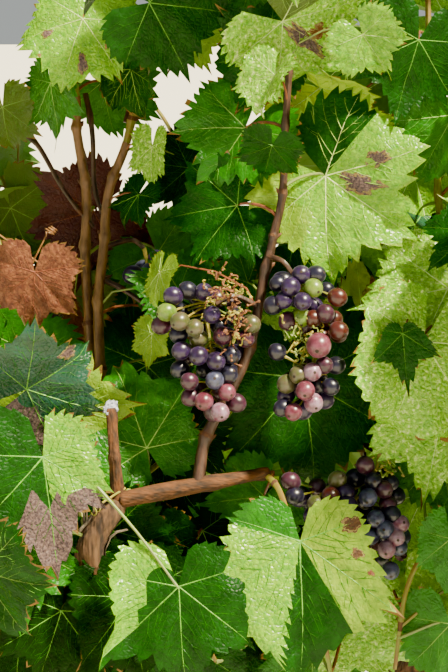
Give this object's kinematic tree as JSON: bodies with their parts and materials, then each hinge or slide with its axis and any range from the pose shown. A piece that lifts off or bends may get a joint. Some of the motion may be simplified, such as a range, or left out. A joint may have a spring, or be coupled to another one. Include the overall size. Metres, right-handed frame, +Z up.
{
  "type": "grapevine",
  "caption": "Bush-trained grapevine with a short gnarled trunk, forked arms, leafy canes and hanging bunches of dark grapes.",
  "frame": {"origin": "centre of the flat cut under the trunk, at ground level", "axes": "+Z up along the trunk, -Y towards the front, where the pictured bunches hang, +X to the right as the front is seen"},
  "size_m": [1.0696, 0.9764, 1.328],
  "materials": {
    "bark": "rough shredding bark",
    "cane": "smooth ripened cane, satin",
    "leaf": "matt to satin leaf",
    "berry": "satin skin with a waxy bloom"
  },
  "bodies": {
    "root": {"arm_back": "bark", "arm_front_left": "bark", "arm_front_right": "bark", "arm_left": "bark", "arm_right": "bark", "bunch_back_left": "berry", "bunch_left": "berry", "bunch_middle": "berry", "bunch_right": "berry", "bunch_under_back_left": "berry", "bunch_under_back_right": "berry", "bunch_under_front_out": "berry", "bunch_under_left_out": "berry", "bunch_under_right_out": "berry", "cane_back_left": "cane", "cane_back_right": "cane", "cane_back_up": "cane", "cane_centre": "cane", "cane_front_out": "cane", "cane_front_right": "cane", "cane_left_a": "cane", "cane_left_b": "cane", "cane_left_back": "cane", "cane_left_out": "cane", "cane_right_out": "cane", "cane_right_up": "cane", "foliage_back_left": "leaf", "foliage_back_low": "leaf", "foliage_back_right": "leaf", "foliage_back_up": "leaf", "foliage_centre": "leaf", "foliage_front_left": "leaf", "foliage_front_low": "leaf", "foliage_front_out": "leaf", "foliage_front_right": "leaf", "foliage_inner_back": "leaf", "foliage_inner_left": "leaf", "foliage_inner_right": "leaf", "foliage_left_a": "leaf", "foliage_left_b": "leaf", "foliage_left_back": "leaf", "foliage_left_low": "leaf", "foliage_left_out": "leaf", "foliage_low_centre": "leaf", "foliage_low_left": "leaf", "foliage_low_right": "leaf", "foliage_right_low": "leaf", "foliage_right_out": "leaf", "foliage_right_up": "leaf", "foliage_stub_side": "leaf", "spur_right": "cane", "spur_stub": "cane", "trunk": "bark"}
  },
  "joints": []
}
